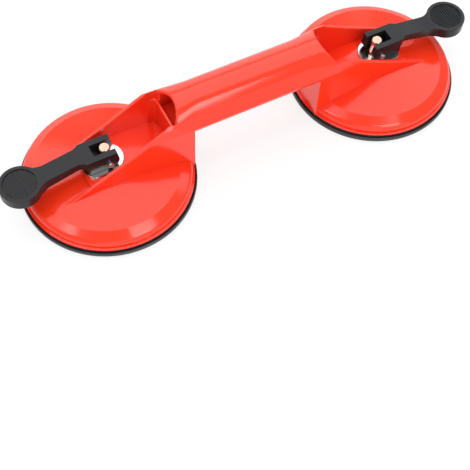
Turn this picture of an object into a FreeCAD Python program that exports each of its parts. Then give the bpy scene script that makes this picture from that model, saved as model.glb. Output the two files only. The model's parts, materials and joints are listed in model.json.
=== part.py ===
import FreeCAD, Part
import math
import os
import re
import Sketcher

# Floor tile suction lifter: one moulded handle with two cup housings, and in each cup a rubber disc
# with a steel insert, a stud, a washer, a cross pin and a cam lever.  Millimetres.  X runs along the
# handle, Z is up, and the rubber's underside is at Z = 0.  Everything about a cup is drawn in the cup's
# own frame: origin on the cup's axis, first axis pointing away from the handle.

# The driving dimensions: alias, value, what it is.
DIMENSIONS = [
    ("cup_x", 103.5, "cup axis from the middle of the handle"),
    ("rubber_rad", 60.0, "outer radius of the rubber disc"),
    ("rubber_top", 5.5, "height of the rubber disc"),
    ("rubber_lip", 1.0, "height of the bevelled lower lip"),
    ("plate_rad", 38.0, "radius of the steel insert plate"),
    ("plate_low", 3.2, "underside of the insert plate"),
    ("plate_high", 5.2, "top of the insert plate"),
    ("plate_gap", 0.35, "gap round the plate and round each peg"),
    ("peg_ring", 32.0, "radius of the ring of rubber pegs"),
    ("peg_rad", 3.0, "radius of a rubber peg"),
    ("web_rise", 0.7, "how far the middle of the sole is hollowed"),
    ("web_rad", 37.5, "radius of the hollowed middle"),
    ("navel_drop", 0.4, "how far the round boss stands out of the hollow"),
    ("navel_rad", 6.5, "radius of the round boss in the middle of the sole"),
    ("flange_rad", 58.5, "outer radius of the housing flange"),
    ("flange_top", 6.1, "top of the flange"),
    ("wall_rad", 56.9, "radius of the upright rim wall"),
    ("wall_foot", 6.4, "foot of the rim wall"),
    ("wall_top", 9.6, "top of the rim wall"),
    ("band_rad", 54.5, "outer radius of the sloped band"),
    ("band_low", 12.6, "outer height of the sloped band"),
    ("shoulder", 3.9, "radius of the rounded shoulder"),
    ("cone_rad", 49.25, "outer radius of the main cone"),
    ("cone_low", 15.2, "outer height of the main cone"),
    ("crown_rad", 19.0, "radius where the main cone ends"),
    ("crown_high", 21.3, "height of the flat crown"),
    ("shell", 2.5, "wall thickness of the housing"),
    ("guide_rad", 7.5, "outer radius of the stud guide"),
    ("guide_low", 11.5, "lower end of the stud guide"),
    ("half_wide", 18.1, "half width of the grip and its legs"),
    ("grip_wide_z", 45.0, "height of the widest line of the grip"),
    ("grip_crease", 13.7, "half width of the crease along the grip"),
    ("grip_crease_z", 55.2, "height of that crease"),
    ("grip_arc", 18.7, "radius of the rounded top of the grip"),
    ("grip_low", 37.3, "underside of the grip"),
    ("grip_low_wide", 12.0, "half width of the flat underside"),
    ("grip_low_arc", 9.6, "radius of the lower corners of the grip"),
    ("finger_half", 12.85, "half the spacing of the finger hollows"),
    ("finger_arc", 60.0, "radius of a finger hollow"),
    ("neck_in", 56.5, "inner face of the neck from the cup axis"),
    ("cheek_end", 37.5, "outer end of the cheeks from the cup axis"),
    ("shoulder_in", 63.5, "start of the blend from grip to cheeks, from the cup axis"),
    ("shoulder_out", 41.5, "end of that blend"),
    ("cheek_crease", 17.2, "half width of the crease on the cheeks"),
    ("cheek_crease_z", 53.2, "height of that crease"),
    ("cheek_arc", 24.3, "radius of the round top over the cheeks"),
    ("slope_in", 48.5, "start of the sloping cheek tops, towards the handle"),
    ("slope_high", 61.3, "height of that start"),
    ("slope_out", 35.5, "end of the sloping cheek tops"),
    ("slope_low", 17.0, "height of that end"),
    ("slope_arc", 600.0, "radius of the sagging cheek tops"),
    ("headroom", 75.0, "level above the whole part"),
    ("trough_wide", 15.4, "half width of the trough"),
    ("trough_in", 43.0, "inner end of the trough"),
    ("trough_low", 24.6, "floor of the trough"),
    ("trough_arc", 7.0, "radius of the trough's inner corners"),
    ("deck_end", 17.5, "outer end of the trough's raised deck"),
    ("mouth_in", 48.3, "innermost point of the rounded mouth"),
    ("mouth_arc", 22.0, "radius of the rounded mouth"),
    ("ledge_high", 47.0, "height of the ledge under the mouth"),
    ("core_wide", 12.0, "half width of the hollow in the grip"),
    ("core_side", 53.0, "height of the hollow's upright sides"),
    ("core_arc", 15.0, "radius of the hollow's roof"),
    ("core_long", 44.0, "length of the hollow"),
    ("core_web", 1.4, "thickness of the web under the mouth's ledge"),
    ("core_deep", 6.5, "how far the hollow's floor lies below the ledge"),
    ("cheek_round", 1.1, "rounding of the cheek tops"),
    ("mouth_round", 1.5, "rounding of the mouth's rim"),
    ("trough_round", 0.6, "rounding of the trough's rims"),
    ("neck_round", 5.0, "fillet between neck and grip"),
    ("washer_rad", 11.85, "outer radius of the washer"),
    ("washer_out", 17.3, "outer radius of the washer away from the handle"),
    ("washer_turn", 12.6, "where that wider end starts"),
    ("washer_seat", 24.2, "seat of the washer"),
    ("washer_top", 26.0, "top of the washer"),
    ("washer_hole", 4.7, "radius of the washer's hole"),
    ("washer_gap", 0.45, "gap round the washer in its seat"),
    ("stud_rad", 4.0, "radius of the stud"),
    ("stud_top", 38.5, "top of the stud"),
    ("stud_foot_rad", 8.0, "radius of the stud's foot"),
    ("stud_foot_top", 7.2, "top of the stud's foot"),
    ("stud_edge", 0.9, "bevel on the stud's head"),
    ("stud_fit", 0.08, "radial clearance of the stud"),
    ("pin_rad", 1.9, "radius of the cross pin"),
    ("pin_high", 30.35, "height of the cross pin"),
    ("pin_long", 20.8, "length of the cross pin"),
    ("pin_edge", 0.4, "bevel on the ends of the cross pin"),
    ("pin_fit", 0.05, "radial clearance of the cross pin"),
    ("cam_base", 4.3, "cam radius with the lever laid outward"),
    ("cam_gain", 1.6, "cam radius gained for each radian of turn"),
    ("cam_turn", 100.0, "turn of the lever in degrees"),
    ("lever_top", 39.3, "top of the lever's fork"),
    ("fork_half", 8.5, "half width of the fork"),
    ("fork_end", 15.5, "outer face of the fork"),
    ("fork_corner", 2.5, "radius of the fork's lower corner"),
    ("slot_half", 4.4, "half width of the fork's slot"),
    ("slot_end", 8.9, "outer end of the slot"),
    ("arm_wide", 6.2, "half width of the arm at its waist"),
    ("arm_thick", 6.0, "thickness of the arm"),
    ("arm_start", 20.0, "where the arm leaves the fork"),
    ("arm_flare", 40.0, "where the arm starts to widen to the pad"),
    ("arm_blend", 9.0, "radius of the blend between fork and arm"),
    ("pad_join", 48.12, "where the arm's edge meets the pad"),
    ("pad_join_wide", 9.1, "half width of the arm there"),
    ("pad_blend", 13.0, "radius of the blend between arm and pad"),
    ("arm_waist", 28.0, "waist of the arm from the cup axis"),
    ("pad_x", 58.5, "centre of the thumb pad"),
    ("pad_rad", 13.8, "radius of the thumb pad"),
    ("pad_top", 34.6, "top of the thumb pad's rim"),
    ("pad_thick", 8.0, "thickness of the thumb pad"),
    ("pad_dish", 11.3, "radius of the ribbed dish in the pad"),
    ("pad_dish_deep", 0.9, "depth of the ribbed dish"),
    ("pad_hollow", 9.5, "radius of the hollow under the pad"),
    ("pad_hollow_deep", 4.5, "depth of the hollow under the pad"),
    ("pad_tier", 11.6, "radius of the shallow step round that hollow"),
    ("pad_tier_deep", 0.8, "depth of that step"),
    ("rib_wide", 0.8, "width of a rib"),
    ("rib_high", 0.6, "height of a rib"),
    ("rib_pitch", 1.65, "spacing of the ribs"),
]
RIBS = 13
PEGS = 8
SIDES = (("left", -1), ("right", 1))

doc = FreeCAD.newDocument("suction_lifter")
sheet = doc.addObject("Spreadsheet::Sheet", "Dimensions")
for row, (alias, number, meaning) in enumerate(DIMENSIONS, start=1):
    sheet.set(f"A{row}", meaning)
    sheet.set(f"B{row}", str(number))
    sheet.setAlias(f"B{row}", alias)
doc.recompute()
SIZE = {alias: number for alias, number, meaning in DIMENSIONS}


def amount(formula):
    """Work out a sum of sheet values such as 'pad_x-pad_rad'."""
    total = 0.0
    for sign, word in re.findall(r"([+-]?)([a-z0-9_.]+)", formula):
        number = SIZE[word] if word in SIZE else float(word)
        total += -number if sign == "-" else number
    return total


def times(count, word):
    """A sheet value taken a whole number of times, as a sum."""
    sign = "-" if count < 0 else "+"
    return "".join([sign + word] * abs(count)).lstrip("+") or "0"


def bound(formula):
    """The same sum as an expression on the sheet."""
    return re.sub(r"([a-z][a-z0-9_]*)", r"Dimensions.\1", formula)


def plane_of(body, role):
    """One of the body's own origin planes, by its role."""
    return next(item for item in body.Origin.OriginFeatures if item.Role == role)


def new_sketch(body, name, role, along=None, turned=False, lift=None):
    """A sketch on an origin plane; along shifts it in X, turned faces it the other way, lift raises it."""
    sketch = body.newObject("Sketcher::SketchObject", name)
    sketch.AttachmentSupport = [(plane_of(body, role), "")]
    sketch.MapMode = "FlatFace"
    spin = {"XY_Plane": FreeCAD.Vector(0, 0, 1)}.get(role, FreeCAD.Vector(0, 1, 0))
    angle = 180 if turned else 0
    sketch.AttachmentOffset = FreeCAD.Placement(FreeCAD.Vector(), FreeCAD.Rotation(spin, angle))
    if along:
        axis = "z" if role == "YZ_Plane" else "x"
        sketch.setExpression(f"AttachmentOffset.Base.{axis}", bound(along))
    if lift:
        sketch.setExpression("AttachmentOffset.Base.z", bound(lift))
    return sketch


def pin_point(sketch, index, end, across, up):
    """Fix one end of an edge at sheet-driven distances from the sketch's origin."""
    for kind, formula in (("DistanceX", across), ("DistanceY", up)):
        constraint = Sketcher.Constraint(kind, -1, 1, index, end, amount(formula))
        number = sketch.addConstraint(constraint)
        if re.search("[a-z]", formula):
            sketch.setExpression(f"Constraints[{number}]", bound(formula))


def bulge(start, finish, radius, side):
    """The arc between two points that bulges to the left or right of the way from start to finish.
    It is given anticlockwise, as the sketcher keeps it."""
    chord = finish - start
    reach = math.sqrt(max(radius ** 2 - chord.Length ** 2 / 4, 0.0))
    left = FreeCAD.Vector(-chord.y, chord.x, 0).normalize()
    outward = left if side == "left" else -left
    crown = start + chord * 0.5 + outward * (radius - reach)
    ends = (finish, start) if side == "left" else (start, finish)
    return Part.Arc(ends[0], crown, ends[1])


def outline(sketch, corners):
    """A closed outline.  A corner is (across, up) or (across, up, side, radius): the edge that leaves the
    corner is then an arc that bulges to that side."""
    points = [FreeCAD.Vector(amount(corner[0]), amount(corner[1]), 0) for corner in corners]
    ends = []
    for place, corner in enumerate(corners):
        start = points[place]
        finish = points[(place + 1) % len(points)]
        if len(corner) == 2:
            index = sketch.addGeometry(Part.LineSegment(start, finish), False)
            ends.append((index, 1, 2))
            continue
        index = sketch.addGeometry(bulge(start, finish, amount(corner[3]), corner[2]), False)
        ends.append((index, 2, 1) if corner[2] == "left" else (index, 1, 2))
        number = sketch.addConstraint(Sketcher.Constraint("Radius", index, amount(corner[3])))
        sketch.setExpression(f"Constraints[{number}]", bound(corner[3]))
    for place, corner in enumerate(corners):
        index, first, last = ends[place]
        following = ends[(place + 1) % len(ends)]
        joint = Sketcher.Constraint("Coincident", index, last, following[0], following[1])
        sketch.addConstraint(joint)
        pin_point(sketch, index, first, corner[0], corner[1])
    return sketch


def circle(sketch, across, up, radius):
    """A circle at a sheet-driven place."""
    centre = FreeCAD.Vector(amount(across), amount(up), 0)
    index = sketch.addGeometry(Part.Circle(centre, FreeCAD.Vector(0, 0, 1), amount(radius)), False)
    number = sketch.addConstraint(Sketcher.Constraint("Radius", index, amount(radius)))
    sketch.setExpression(f"Constraints[{number}]", bound(radius))
    pin_point(sketch, index, 3, across, up)
    return sketch


def axis_line(sketch):
    """An upright construction line through the sketch's origin, to revolve about."""
    foot = FreeCAD.Vector(0, 0, 0)
    head = FreeCAD.Vector(0, 10, 0)
    index = sketch.addGeometry(Part.LineSegment(foot, head), True)
    sketch.addConstraint(Sketcher.Constraint("Coincident", index, 1, -1, 1))
    sketch.addConstraint(Sketcher.Constraint("Vertical", index))
    sketch.addConstraint(Sketcher.Constraint("DistanceY", -1, 1, index, 2, 10))


def turned_piece(body, name, sketch, kind="Revolution"):
    """Revolve or groove a sketch about its construction line."""
    axis_line(sketch)
    feature = body.newObject(f"PartDesign::{kind}", name)
    feature.Profile = sketch
    feature.ReferenceAxis = (sketch, ["Axis0"])
    feature.Angle = 360
    body.Tip = feature
    return feature


def grow(body, name, sketch, length, both=False, back=False, kind="Pad"):
    """Pad or pocket a sketch by a sheet-driven length, one way or both ways."""
    feature = body.newObject(f"PartDesign::{kind}", name)
    feature.Profile = sketch
    feature.Length = amount(length)
    feature.setExpression("Length", bound(length))
    feature.SideType = "Symmetric" if both else "One side"
    feature.Reversed = back
    body.Tip = feature
    return feature


def cup_sketch(body, name, role, side, lift=None, away="0"):
    """A sketch drawn in the frame of one cup, on the named side of the handle."""
    if role == "YZ_Plane":
        along = "cup_x-" + away if side > 0 else "-cup_x+" + away
    else:
        along = "cup_x" if side > 0 else "-cup_x"
    return new_sketch(body, name, role, along=along, turned=side < 0, lift=lift)


def crest_outline(sketch, crease, crease_high, round_top):
    """The upper part of the handle's section: side facets up to a crease, and a round top."""
    return outline(sketch, [
        ("-half_wide", "grip_wide_z"),
        ("half_wide", "grip_wide_z"),
        (crease, crease_high, "right", round_top),
        (f"-{crease}", crease_high),
    ])


def housing_and_handle():
    """The red moulding: grip, two necks with cheeks, and the two hollow cup housings."""
    body = doc.addObject("PartDesign::Body", "handle_body")
    body.Label = "handle_body"
    belly = new_sketch(body, "GripLowerSection", "YZ_Plane")
    outline(belly, [
        ("-grip_low_wide", "grip_low"),
        ("grip_low_wide", "grip_low", "right", "grip_low_arc"),
        ("half_wide", "grip_wide_z"),
        ("-half_wide", "grip_wide_z", "right", "grip_low_arc"),
    ])
    grow(body, "GripBelly", belly, "cup_x+cup_x-neck_in-neck_in", both=True)
    crest = new_sketch(body, "GripUpperSection", "YZ_Plane")
    crest_outline(crest, "grip_crease", "grip_crease_z", "grip_arc")
    grow(body, "GripCrest", crest, "cup_x+cup_x-shoulder_in-shoulder_in", both=True)
    for label, side in SIDES:
        leg = cup_sketch(body, f"{label}_leg_section", "YZ_Plane", side, away="neck_in")
        outline(leg, [
            ("-half_wide", "rubber_top"),
            ("half_wide", "rubber_top"),
            ("half_wide", "grip_wide_z"),
            ("-half_wide", "grip_wide_z"),
        ])
        grow(body, f"{label}_leg", leg, "neck_in+cheek_end")
        near = cup_sketch(body, f"{label}_shoulder_start", "YZ_Plane", side, away="shoulder_in")
        crest_outline(near, "grip_crease", "grip_crease_z", "grip_arc")
        far = cup_sketch(body, f"{label}_shoulder_end", "YZ_Plane", side, away="shoulder_out")
        crest_outline(far, "cheek_crease", "cheek_crease_z", "cheek_arc")
        blend = body.newObject("PartDesign::AdditiveLoft", f"{label}_shoulder")
        blend.Profile = near
        blend.Sections = [far]
        blend.Ruled = False
        body.Tip = blend
        cheeks = cup_sketch(body, f"{label}_cheek_section", "YZ_Plane", side, away="shoulder_out")
        crest_outline(cheeks, "cheek_crease", "cheek_crease_z", "cheek_arc")
        grow(body, f"{label}_cheeks", cheeks, "shoulder_out")
    for label, side in SIDES:
        slope = cup_sketch(body, f"{label}_cheek_slope", "XZ_Plane", side)
        outline(slope, [
            ("-slope_in", "slope_high", "right", "slope_arc"),
            ("slope_out", "slope_low"),
            ("rubber_rad", "cone_low"),
            ("rubber_rad", "headroom"),
            ("-slope_in", "headroom"),
        ])
        grow(body, f"{label}_slope", slope, "rubber_rad+rubber_rad", both=True, kind="Pocket")
        trough = cup_sketch(body, f"{label}_trough_plan", "XY_Plane", side, lift="trough_low")
        outline(trough, [
            ("rubber_rad", "-trough_wide"),
            ("rubber_rad", "trough_wide"),
            ("-trough_in+trough_arc", "trough_wide", "right", "trough_arc"),
            ("-trough_in", "trough_wide-trough_arc"),
            ("-trough_in", "-trough_wide+trough_arc", "right", "trough_arc"),
            ("-trough_in+trough_arc", "-trough_wide"),
        ])
        grow(body, f"{label}_trough", trough, "headroom", back=True, kind="Pocket")
        apron = cup_sketch(body, f"{label}_apron_plan", "XY_Plane", side, lift="flange_top")
        outline(apron, [
            ("deck_end", "-trough_wide"),
            ("rubber_rad", "-trough_wide"),
            ("rubber_rad", "trough_wide"),
            ("deck_end", "trough_wide"),
        ])
        grow(body, f"{label}_apron", apron, "headroom", back=True, kind="Pocket")
        mouth = cup_sketch(body, f"{label}_mouth_plan", "XY_Plane", side, lift="ledge_high")
        outline(mouth, [
            ("-trough_in+trough_arc", "-trough_wide"),
            ("-trough_in+trough_arc", "trough_wide"),
            ("-trough_in", "trough_wide", "right", "mouth_arc"),
            ("-trough_in", "-trough_wide"),
        ])
        grow(body, f"{label}_mouth", mouth, "headroom", back=True, kind="Pocket")
        core = cup_sketch(body, f"{label}_core_section", "YZ_Plane", side, away="trough_in")
        outline(core, [
            ("-core_wide", "ledge_high"),
            ("core_wide", "ledge_high"),
            ("core_wide", "core_side", "right", "core_arc"),
            ("-core_wide", "core_side"),
        ])
        grow(body, f"{label}_core", core, "core_long", kind="Pocket")
        well = cup_sketch(body, f"{label}_well_plan", "XY_Plane", side, lift="ledge_high")
        outline(well, [
            ("-trough_in-core_long", "-core_wide"),
            ("-trough_in-core_web", "-core_wide"),
            ("-trough_in-core_web", "core_wide"),
            ("-trough_in-core_long", "core_wide"),
        ])
        grow(body, f"{label}_well", well, "core_deep", kind="Pocket")
    fingers = new_sketch(body, "FingerHollows", "XZ_Plane")
    corner = new_sketch(body, "NeckCorners", "XZ_Plane")
    for root, tip, side in (
        ("cup_x-neck_in", "cup_x-neck_in-neck_round", "right"),
        ("-cup_x+neck_in", "-cup_x+neck_in+neck_round", "left"),
    ):
        outline(corner, [
            (root, "grip_low"),
            (root, "grip_low-neck_round", side, "neck_round"),
            (tip, "grip_low"),
        ])
    grow(body, "NeckFillets", corner, "grip_low_wide+grip_low_wide", both=True)
    outer = "finger_half+finger_half"
    ends = ["-cup_x+neck_in+neck_round", "-finger_half-finger_half", "0", outer, "cup_x-neck_in-neck_round"]
    for start, finish in zip(ends, ends[1:]):
        outline(fingers, [
            (start, "grip_low-shell"),
            (finish, "grip_low-shell"),
            (finish, "grip_low", "right", "finger_arc"),
            (start, "grip_low"),
        ])
    grow(body, "Fingers", fingers, "rubber_rad+rubber_rad", both=True, kind="Pocket")
    rounded(body, "CheekTops", "cheek_round", on_cheek_side)
    rounded(body, "MouthRims", "mouth_round", on_mouth_rim)
    rounded(body, "TroughRims", "trough_round", on_trough_side)
    for label, side in SIDES:
        cup = cup_sketch(body, f"{label}_cup_profile", "XZ_Plane", side)
        outline(cup, [
            ("0", "rubber_top"),
            ("flange_rad", "rubber_top"),
            ("flange_rad", "flange_top"),
            ("wall_rad", "wall_foot"),
            ("wall_rad", "wall_top", "right", "shoulder"),
            ("band_rad", "band_low"),
            ("cone_rad", "cone_low"),
            ("crown_rad", "crown_high"),
            ("0", "crown_high"),
        ])
        turned_piece(body, f"{label}_cup", cup)
        hollow = cup_sketch(body, f"{label}_hollow_profile", "XZ_Plane", side)
        outline(hollow, [
            ("guide_rad", "guide_low"),
            ("guide_rad", "crown_high-shell"),
            ("crown_rad", "crown_high-shell"),
            ("cone_rad", "cone_low-shell"),
            ("wall_rad-shell", "wall_top"),
            ("wall_rad-shell", "rubber_top"),
            ("0", "rubber_top"),
            ("0", "guide_low"),
        ])
        turned_piece(body, f"{label}_hollow", hollow, "Groove")
        seat = cup_sketch(body, f"{label}_washer_seat", "XY_Plane", side, lift="washer_seat")
        edge = "washer_rad+washer_gap"
        outline(seat, [
            ("0", edge, "left", edge),
            ("-washer_rad-washer_gap", "0", "left", edge),
            ("0", "-washer_rad-washer_gap"),
            ("deck_end+washer_gap", "-washer_rad-washer_gap"),
            ("deck_end+washer_gap", edge),
        ])
        grow(body, f"{label}_seat", seat, "headroom-ledge_high", back=True, kind="Pocket")
        bore = cup_sketch(body, f"{label}_stud_bore", "XY_Plane", side)
        circle(bore, "0", "0", "stud_rad+stud_fit")
        grow(body, f"{label}_bore", bore, "headroom-ledge_high", back=True, kind="Pocket")
    return body


def rounded(body, name, radius, test):
    """Round every edge of the body's last feature that passes the test."""
    doc.recompute()
    base = body.Tip
    fillet = body.newObject("PartDesign::Fillet", name)
    edges = [f"Edge{number}" for number, edge in enumerate(base.Shape.Edges, start=1) if test(edge)]
    fillet.Base = (base, edges)
    fillet.Radius = SIZE[radius]
    fillet.setExpression("Radius", bound(radius))
    body.Tip = fillet
    return fillet


def on_side(edge, word):
    """True for a long sagging edge of a cheek's top in an upright side plane."""
    box = edge.BoundBox
    flat = box.YLength < 0.02 and abs(abs(box.YMin) - SIZE[word]) < 0.02
    return flat and edge.Curve.TypeId == "Part::GeomCircle" and box.ZLength > 3 and edge.Length > 8


def on_cheek_side(edge):
    """The outer edges of the cheek tops."""
    return on_side(edge, "half_wide")


def on_trough_side(edge):
    """The inner edges of the cheek tops."""
    return on_side(edge, "trough_wide")


def on_mouth_rim(edge):
    """The curved edge where the grip's top ends at the mouth."""
    return edge.BoundBox.ZMin > SIZE["ledge_high"] and edge.BoundBox.YLength > SIZE["half_wide"] * 1.5


def cup_body(label, side, piece):
    """A body drawn in the frame of one cup and set down there."""
    body = doc.addObject("PartDesign::Body", f"{label}_{piece}")
    body.Label = f"{label}_{piece}"
    body.Placement = FreeCAD.Placement(
        FreeCAD.Vector(), FreeCAD.Rotation(FreeCAD.Vector(0, 0, 1), 0 if side > 0 else 180))
    body.setExpression("Placement.Base.x", bound("cup_x" if side > 0 else "-cup_x"))
    return body


def rubber_disc(label, side):
    """The suction rubber: flat sealing ring, hollowed sole with a boss, and an open bed for the plate."""
    body = cup_body(label, side, "rubber_disc")
    profile = new_sketch(body, f"{label}_rubber_profile", "XZ_Plane")
    outline(profile, [
        ("0", "web_rise-navel_drop"),
        ("navel_rad", "web_rise-navel_drop"),
        ("navel_rad+navel_drop", "web_rise"),
        ("web_rad-rubber_lip", "web_rise"),
        ("web_rad", "0"),
        ("rubber_rad-rubber_lip", "0"),
        ("rubber_rad", "rubber_lip"),
        ("rubber_rad", "rubber_top"),
        ("plate_rad+plate_gap", "rubber_top"),
        ("plate_rad+plate_gap", "plate_low"),
        ("0", "plate_low"),
    ])
    turned_piece(body, f"{label}_rubber", profile)
    peg = new_sketch(body, f"{label}_peg_plan", "XY_Plane", lift="plate_low")
    circle(peg, "peg_ring", "0", "peg_rad")
    first = grow(body, f"{label}_peg", peg, "plate_high-plate_low")
    ring_of(body, f"{label}_pegs", first)
    return body


def ring_of(body, name, feature):
    """Repeat a feature round the body's upright axis, once for each peg."""
    pattern = body.newObject("PartDesign::PolarPattern", name)
    pattern.Originals = [feature]
    pattern.Axis = (plane_of(body, "Z_Axis"), [""])
    pattern.Angle = 360
    pattern.Occurrences = PEGS
    body.Tip = pattern
    return pattern


def insert_plate(label, side):
    """The steel plate: the rubber's pegs come up through its ring of holes."""
    body = cup_body(label, side, "insert_plate")
    plan = new_sketch(body, f"{label}_plate_plan", "XY_Plane", lift="plate_low")
    circle(plan, "0", "0", "plate_rad")
    circle(plan, "0", "0", "stud_rad")
    grow(body, f"{label}_plate", plan, "plate_high-plate_low")
    hole = new_sketch(body, f"{label}_hole_plan", "XY_Plane")
    circle(hole, "peg_ring", "0", "peg_rad+plate_gap")
    first = grow(body, f"{label}_hole", hole, "rubber_top", back=True, kind="Pocket")
    ring_of(body, f"{label}_holes", first)
    return body


def stem(label, side):
    """The coppered stud: riveted in the plate, with a wide foot, a cross hole and a bevelled head."""
    body = cup_body(label, side, "stem")
    profile = new_sketch(body, f"{label}_stud_profile", "XZ_Plane")
    outline(profile, [
        ("0", "plate_low"),
        ("stud_rad", "plate_low"),
        ("stud_rad", "plate_high"),
        ("stud_foot_rad", "plate_high"),
        ("stud_foot_rad", "stud_foot_top-stud_edge"),
        ("stud_rad", "stud_foot_top"),
        ("stud_rad", "stud_top-stud_edge"),
        ("stud_rad-stud_edge", "stud_top"),
        ("0", "stud_top"),
    ])
    turned_piece(body, f"{label}_stud", profile)
    eye = new_sketch(body, f"{label}_eye_section", "XZ_Plane")
    circle(eye, "0", "pin_high", "pin_rad")
    grow(body, f"{label}_eye", eye, "pin_long", both=True, kind="Pocket")
    return body


def washer(label, side):
    """The bright washer that the cam bears on: round towards the handle, longer under the fork."""
    body = cup_body(label, side, "washer")
    plan = new_sketch(body, f"{label}_washer_plan", "XY_Plane", lift="washer_seat")
    outline(plan, [
        ("0", "washer_rad", "left", "washer_rad"),
        ("-washer_rad", "0", "left", "washer_rad"),
        ("0", "-washer_rad"),
        ("washer_turn", "-washer_rad", "right", "washer_out"),
        ("washer_turn", "washer_rad"),
    ])
    circle(plan, "0", "0", "washer_hole")
    grow(body, f"{label}_ring", plan, "washer_top-washer_seat")
    return body


def cross_pin(label, side):
    """The lever's axle, pressed through the stud."""
    body = cup_body(label, side, "cross_pin")
    section = new_sketch(body, f"{label}_pin_section", "XZ_Plane")
    circle(section, "0", "pin_high", "pin_rad")
    pin = grow(body, f"{label}_pin", section, "pin_long", both=True)
    doc.recompute()
    bevel = body.newObject("PartDesign::Chamfer", f"{label}_pin_bevel")
    rims = [f"Edge{number}" for number, edge in enumerate(pin.Shape.Edges, start=1) if edge.isClosed()]
    bevel.Base = (pin, rims)
    bevel.Size = SIZE["pin_edge"]
    bevel.setExpression("Size", bound("pin_edge"))
    body.Tip = bevel
    return body


def cam_point(turn):
    """A point of the cam.  Its reach below the pin grows evenly with the turn, so the stud rises evenly."""
    reach = SIZE["cam_base"] + SIZE["cam_gain"] * turn
    across = -reach * math.sin(turn) - SIZE["cam_gain"] * math.cos(turn)
    up = -reach * math.cos(turn) + SIZE["cam_gain"] * math.sin(turn)
    return FreeCAD.Vector(across, SIZE["pin_high"] + up, 0)


def lever_profile(sketch):
    """The lever from the side: cam nose, flat top, arm, thumb pad and the fork's flat underside."""
    full = math.radians(SIZE["cam_turn"])
    pieces = 4
    for step in range(pieces):
        first, middle, last = (cam_point(full * (step + part) / pieces) for part in (0, 0.5, 1))
        sketch.addGeometry(Part.Arc(first, middle, last), False)
        sketch.addConstraint(Sketcher.Constraint("Block", step))
    nose = cam_point(full)
    rise = SIZE["lever_top"] - nose.y
    crest = FreeCAD.Vector(nose.x - rise / math.tan(full), SIZE["lever_top"], 0)
    pad_low = SIZE["pad_top"] - SIZE["pad_thick"]
    arm_low = SIZE["lever_top"] - SIZE["arm_thick"]
    pad_start = SIZE["pad_x"] - SIZE["pad_rad"]
    cam_low = SIZE["pin_high"] - SIZE["cam_base"]
    points = [
        nose,
        crest,
        FreeCAD.Vector(SIZE["arm_start"], SIZE["lever_top"], 0),
        FreeCAD.Vector(pad_start + 2, SIZE["pad_top"], 0),
        FreeCAD.Vector(SIZE["pad_x"] + SIZE["pad_rad"], SIZE["pad_top"], 0),
        FreeCAD.Vector(SIZE["pad_x"] + SIZE["pad_rad"], pad_low, 0),
        FreeCAD.Vector(pad_start + 1, pad_low, 0),
        FreeCAD.Vector(SIZE["arm_start"], arm_low, 0),
        FreeCAD.Vector(SIZE["fork_end"], arm_low - 1, 0),
        FreeCAD.Vector(SIZE["fork_end"], cam_low + SIZE["fork_corner"], 0),
    ]
    for start, finish in zip(points, points[1:]):
        sketch.addGeometry(Part.LineSegment(start, finish), False)
    heel = FreeCAD.Vector(SIZE["fork_end"] - SIZE["fork_corner"], cam_low, 0)
    sketch.addGeometry(bulge(points[-1], heel, SIZE["fork_corner"], "left"), False)
    sketch.addGeometry(Part.LineSegment(heel, cam_point(0)), False)
    for index in range(pieces, len(sketch.Geometry)):
        sketch.addConstraint(Sketcher.Constraint("Block", index))
    return sketch


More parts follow.
